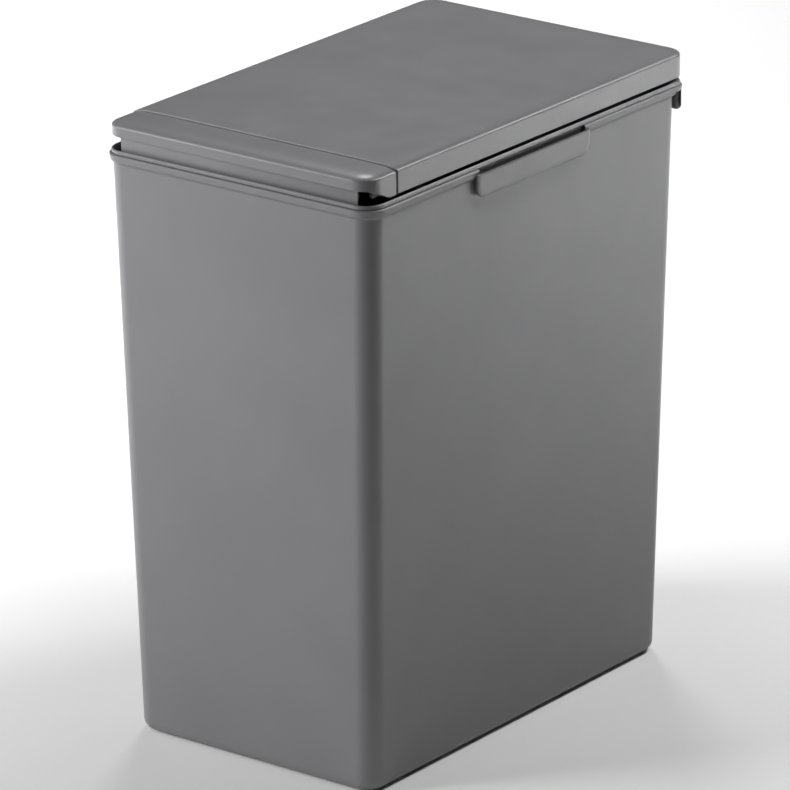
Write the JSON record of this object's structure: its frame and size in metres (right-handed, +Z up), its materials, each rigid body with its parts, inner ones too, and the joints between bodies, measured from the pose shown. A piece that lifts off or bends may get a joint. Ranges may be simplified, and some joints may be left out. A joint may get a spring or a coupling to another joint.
{
  "type": "touch trash can",
  "caption": "Tapered rectangular waste bin with a lift-off frame, a sprung rear-hinged lid and a full-width press bar that releases it.",
  "frame": {"origin": "centre of the base, on the surface that the bin stands on", "axes": "+Z up, -Y towards the touch bar at the front, +X towards the bin's right long side seen from the front"},
  "size_m": [0.221, 0.347, 0.4215],
  "materials": {
    "bucket_plastic": "satin, fine even grain",
    "frame_plastic": "satin",
    "lid_plastic": "satin",
    "bar_plastic": "satin",
    "plate_plastic": "satin",
    "inner_plastic": "plain moulded",
    "acetal": "plain moulded",
    "steel": "zinc plated",
    "rubber": "matt"
  },
  "bodies": {
    "bucket": {"bucket": "bucket_plastic"},
    "frame": {"upper_frame": "frame_plastic", "catch_plate": "acetal", "catch_screw_1": "steel", "catch_screw_2": "steel", "hinge_pin_left": "steel", "hinge_pin_right": "steel", "lid_buffer_left": "rubber", "lid_buffer_right": "rubber"},
    "lid": {"lid_shell": "lid_plastic", "lid_lining": "inner_plastic", "lid_hinge_leaf_left": "inner_plastic", "lid_hinge_leaf_right": "inner_plastic", "lid_spring_left": "steel", "lid_spring_right": "steel", "lining_screw_1": "steel", "lining_screw_2": "steel", "lining_screw_3": "steel", "lining_screw_4": "steel", "lining_screw_5": "steel", "lining_screw_6": "steel", "hinge_screw_1": "steel", "hinge_screw_2": "steel", "hinge_screw_3": "steel", "hinge_screw_4": "steel", "bar_pivot_pin_left": "steel", "bar_pivot_pin_right": "steel", "bar_spring_left": "steel", "bar_spring_right": "steel"},
    "bar": {"touch_bar": "bar_plastic", "bar_carrier": "inner_plastic", "latch_plate": "plate_plastic", "latch_hook": "acetal", "bar_screw_1": "steel", "bar_screw_2": "steel", "bar_screw_3": "steel", "bar_screw_4": "steel", "plate_screw_1": "steel", "plate_screw_2": "steel", "plate_screw_3": "steel", "plate_screw_4": "steel", "hook_screw_1": "steel", "hook_screw_2": "steel"}
  },
  "joints": [
    {"name": "frame_lift", "type": "slide", "parent": "bucket", "child": "frame", "axis": [0, 0, 1], "range_m": [0, 0.12]},
    {"name": "lid_hinge", "type": "hinge", "parent": "frame", "child": "lid", "pos_m": [0, 0.171, 0.4036], "axis": [-1, 0, 0], "range_deg": [0, 85]},
    {"name": "bar_press", "type": "hinge", "parent": "lid", "child": "bar", "pos_m": [0, -0.1402, 0.41], "axis": [1, 0, 0], "range_deg": [0, 6], "stiffness_Nm_per_rad": 0.8, "springref_deg": -3.44, "deforming": ["bar_spring_left", "bar_spring_right"]}
  ]
}
